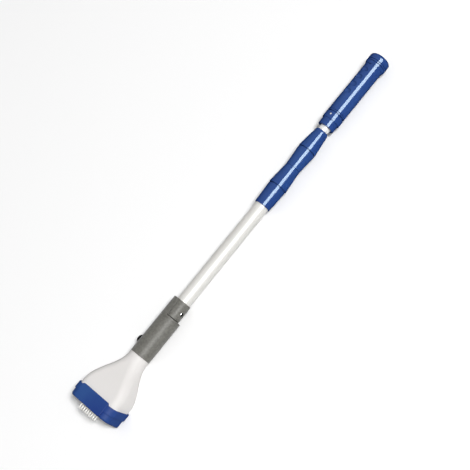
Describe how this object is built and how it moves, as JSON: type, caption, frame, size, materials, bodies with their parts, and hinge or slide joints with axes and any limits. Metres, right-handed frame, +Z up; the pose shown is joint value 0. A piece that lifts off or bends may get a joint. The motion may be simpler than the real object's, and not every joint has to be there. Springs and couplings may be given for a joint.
{
  "type": "pool wall brush",
  "caption": "Hand brush for pool walls: funnel head with blue bumper and bristles, folding gray coupling, twist-lock telescopic pole and ribbed grip.",
  "frame": {"origin": "middle of the bounding box in X and Y, on the surface that the back of the head lies on", "axes": "+X along the pole from the bristles to the handle, +Z up and out of the head's front, +Y across the head"},
  "size_m": [0.932, 0.111, 0.073],
  "materials": {
    "white_plastic": "semi-gloss moulded",
    "blue_bumper": "semi-gloss moulded",
    "blue_plastic": "gloss moulded",
    "gray_plastic": "satin moulded",
    "black_plastic": "gloss moulded",
    "white_nylon": "natural",
    "bristle_nylon": "natural filaments",
    "aluminium": "satin anodised",
    "inner_aluminium": "satin anodised",
    "steel": "plain",
    "chrome": "polished"
  },
  "bodies": {
    "head": {"head_shell": "white_plastic", "bumper_band": "blue_bumper", "base_plate": "white_plastic", "base_screws": "steel", "bristle_block": "white_nylon", "bristle_tufts": "bristle_nylon", "bristle_tufts_corner": "bristle_nylon", "coupling_body": "gray_plastic", "pivot_pin": "gray_plastic", "release_spring": "steel"},
    "release_button": {"release_button": "black_plastic"},
    "pole": {"pole_socket": "gray_plastic", "outer_tube": "aluminium", "tube_plug": "gray_plastic", "snap_spring": "steel", "lock_sleeve": "blue_plastic", "lock_body": "blue_plastic", "lock_collet": "black_plastic", "tube_end_bush": "white_nylon"},
    "snap_button": {"snap_button": "chrome"},
    "lock_nut": {"lock_nut": "blue_plastic", "lock_cap": "blue_plastic"},
    "handle": {"inner_tube": "inner_aluminium", "inner_tube_guide": "white_nylon", "inner_tube_plug": "gray_plastic", "handle_ferrule": "blue_plastic", "handle_collar": "blue_plastic", "collar_pin": "white_nylon", "grip_ring": "blue_plastic", "grip_spacer": "blue_plastic", "grip": "blue_plastic", "cap_sleeve": "blue_plastic", "cap_ring": "blue_plastic", "end_cap": "blue_plastic"}
  },
  "joints": [
    {"name": "pole_fold", "type": "hinge", "parent": "head", "child": "pole", "pos_m": [-0.2133, 0, 0.0295], "axis": [0, -0.2079, -0.9781], "range_deg": [0, 40]},
    {"name": "telescope", "type": "slide", "parent": "pole", "child": "handle", "axis": [1, 0, 0], "range_m": [0, 0.25]},
    {"name": "lock_twist", "type": "hinge", "parent": "pole", "child": "lock_nut", "pos_m": [0.212, 0, 0.0295], "axis": [1, 0, 0], "range_deg": [0, 150]},
    {"name": "release_press", "type": "slide", "parent": "head", "child": "release_button", "axis": [0, -0.9781, 0.2079], "range_m": [0, 0.004], "stiffness_N_per_m": 800, "springref_m": -0.002, "deforming": ["release_spring"]},
    {"name": "snap_press", "type": "slide", "parent": "pole", "child": "snap_button", "axis": [0, 0.9781, -0.2079], "range_m": [0, 0.003], "stiffness_N_per_m": 1500, "springref_m": -0.001, "deforming": ["snap_spring"]}
  ]
}
